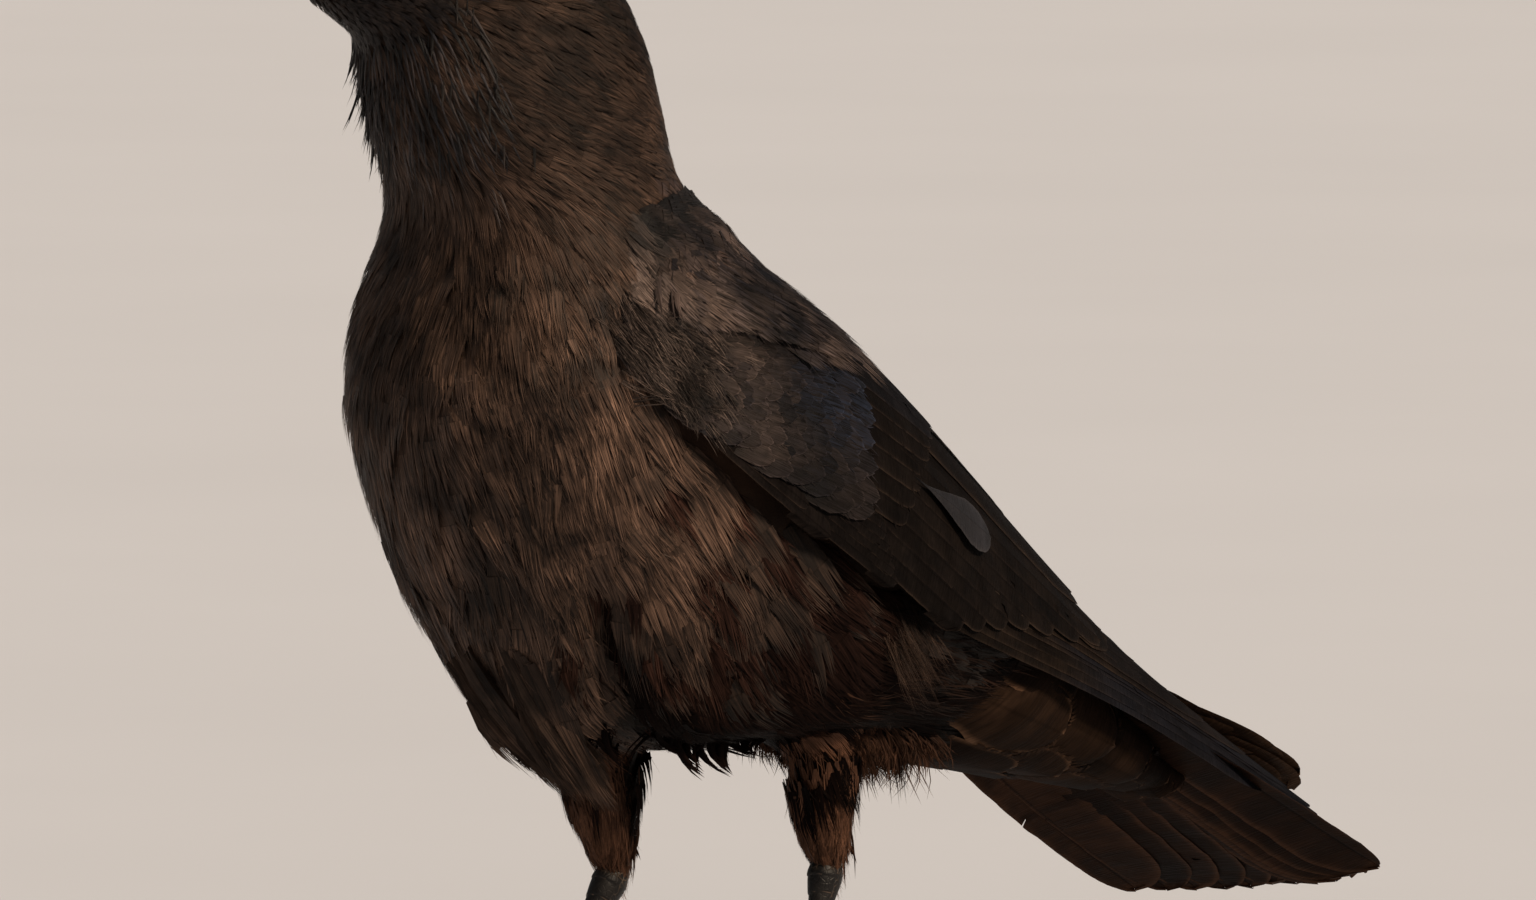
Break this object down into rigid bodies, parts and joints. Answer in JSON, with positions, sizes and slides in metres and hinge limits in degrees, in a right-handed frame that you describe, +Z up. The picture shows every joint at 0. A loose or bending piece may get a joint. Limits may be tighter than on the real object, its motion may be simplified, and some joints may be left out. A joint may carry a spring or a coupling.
{
  "type": "black crow, still life-size model",
  "caption": "Life-size still model of a standing black crow in mid step, head turned a little, wings folded over a slightly fanned tail; stands on its own toes.",
  "frame": {"origin": "on the floor under the middle of the model's bounding box", "axes": "-Y is forward along the body, +X is the bird's left side, +Z is up; the toes stand on Z = 0"},
  "size_m": [0.1254, 0.3972, 0.3251],
  "materials": {
    "body_feathers": "soft brownish-black contour feathers with a faint silky gloss",
    "flight_feathers": "smooth black wing and tail feathers with a blue-grey sheen and browner edges",
    "horn": "black horn, satin, with fine growth lines",
    "leg_skin": "dark scaled skin with paler scale edges",
    "eye": "dark brown eye, wet gloss"
  },
  "bodies": {
    "root": {"head": "body_feathers", "neck": "body_feathers", "bill_upper": "horn", "bill_lower": "horn", "eye_left": "eye", "eye_right": "eye", "thigh_left": "body_feathers", "shank_left": "leg_skin", "toe_middle_left": "leg_skin", "claw_middle_left": "horn", "toe_inner_left": "leg_skin", "claw_inner_left": "horn", "toe_outer_left": "leg_skin", "claw_outer_left": "horn", "toe_hind_left": "leg_skin", "claw_hind_left": "horn", "thigh_right": "body_feathers", "shank_right": "leg_skin", "toe_middle_right": "leg_skin", "claw_middle_right": "horn", "toe_inner_right": "leg_skin", "claw_inner_right": "horn", "toe_outer_right": "leg_skin", "claw_outer_right": "horn", "toe_hind_right": "leg_skin", "claw_hind_right": "horn", "trunk": "body_feathers", "wing_left": "flight_feathers", "wing_right": "flight_feathers", "tail": "flight_feathers"}
  },
  "joints": []
}
